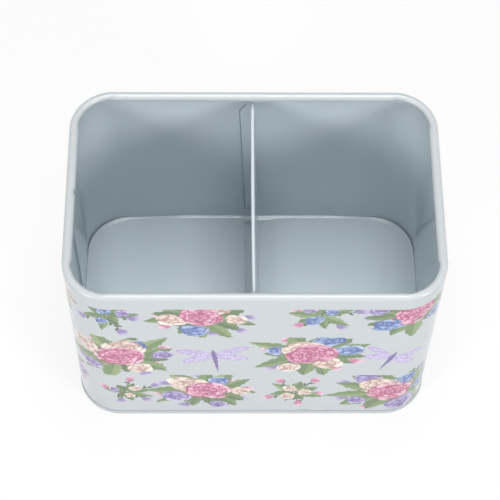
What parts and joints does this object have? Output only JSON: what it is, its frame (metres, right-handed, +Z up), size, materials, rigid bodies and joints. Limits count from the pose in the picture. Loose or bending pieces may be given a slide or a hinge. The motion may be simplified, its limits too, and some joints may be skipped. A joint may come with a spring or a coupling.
{
  "type": "seed packet box",
  "caption": "Open-top rounded box in painted tinplate with a curled rim, a seamed-in base and a pressed upright divider between two compartments.",
  "frame": {"origin": "middle of the underside, where the base seam stands on the table", "axes": "+X along the long side towards the right-hand compartment, +Y towards the back, +Z up out of the open top"},
  "size_m": [0.201, 0.131, 0.14],
  "materials": {
    "printed_tin": "gloss lithographed enamel, pale blue-white outside with a small garden print, blue-grey lacquer inside",
    "base_lacquer": "gloss blue-grey lacquer",
    "divider_lacquer": "gloss blue-grey lacquer"
  },
  "bodies": {
    "root": {"body_wall": "printed_tin", "base_panel": "base_lacquer", "divider": "divider_lacquer"}
  },
  "joints": []
}
